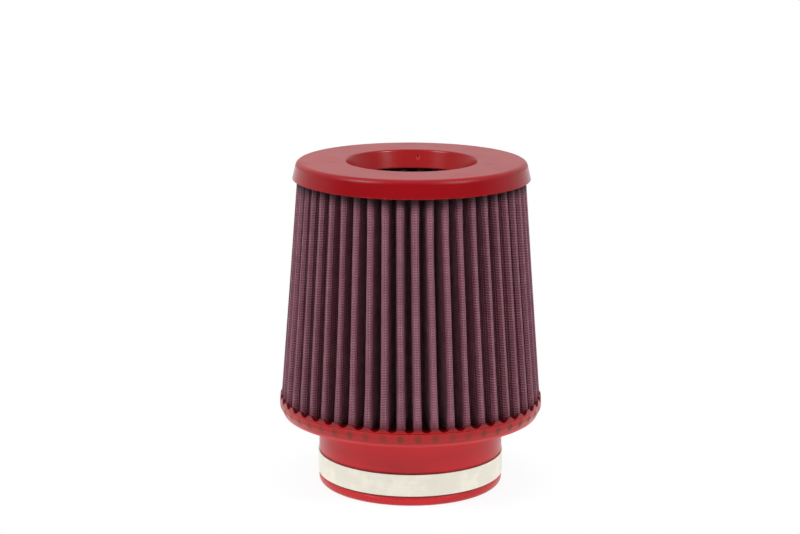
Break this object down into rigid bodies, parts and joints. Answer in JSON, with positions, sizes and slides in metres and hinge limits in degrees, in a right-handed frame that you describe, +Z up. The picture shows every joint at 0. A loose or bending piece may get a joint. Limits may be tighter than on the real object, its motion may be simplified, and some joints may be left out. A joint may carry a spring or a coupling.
{
  "type": "cone air filter",
  "caption": "Clamp-on cone air filter with a pleated outer cone, an open cap with an inverted inner cone, and a round neck with a hose clamp.",
  "frame": {"origin": "centre of the neck's open end, on the face that the filter stands on", "axes": "+Z up the filter's axis from the neck to the cap, -Y to the front, and the clamp's screw housing at the back, +Y"},
  "size_m": [0.145, 0.145, 0.1804],
  "materials": {
    "moulding": "smooth cast polyurethane, glossy red",
    "gauze": "oiled cotton gauze, woven",
    "mesh": "fine woven wire mesh",
    "strap": "bright stainless strip",
    "screw": "zinc-plated steel"
  },
  "bodies": {
    "filter": {"base_moulding": "moulding", "top_cap": "moulding", "cone_plug": "moulding", "outer_mesh_outside": "mesh", "outer_gauze": "gauze", "outer_mesh_inside": "mesh", "inner_mesh_outside": "mesh", "inner_gauze": "gauze", "inner_mesh_inside": "mesh", "clamp_strap": "strap", "clamp_housing": "strap"},
    "screw": {"clamp_screw": "screw"}
  },
  "joints": [
    {"name": "screw_turn", "type": "hinge", "parent": "filter", "child": "screw", "pos_m": [0, 0.05698, 0.0121], "axis": [-1, 0, 0], "continuous": true}
  ]
}
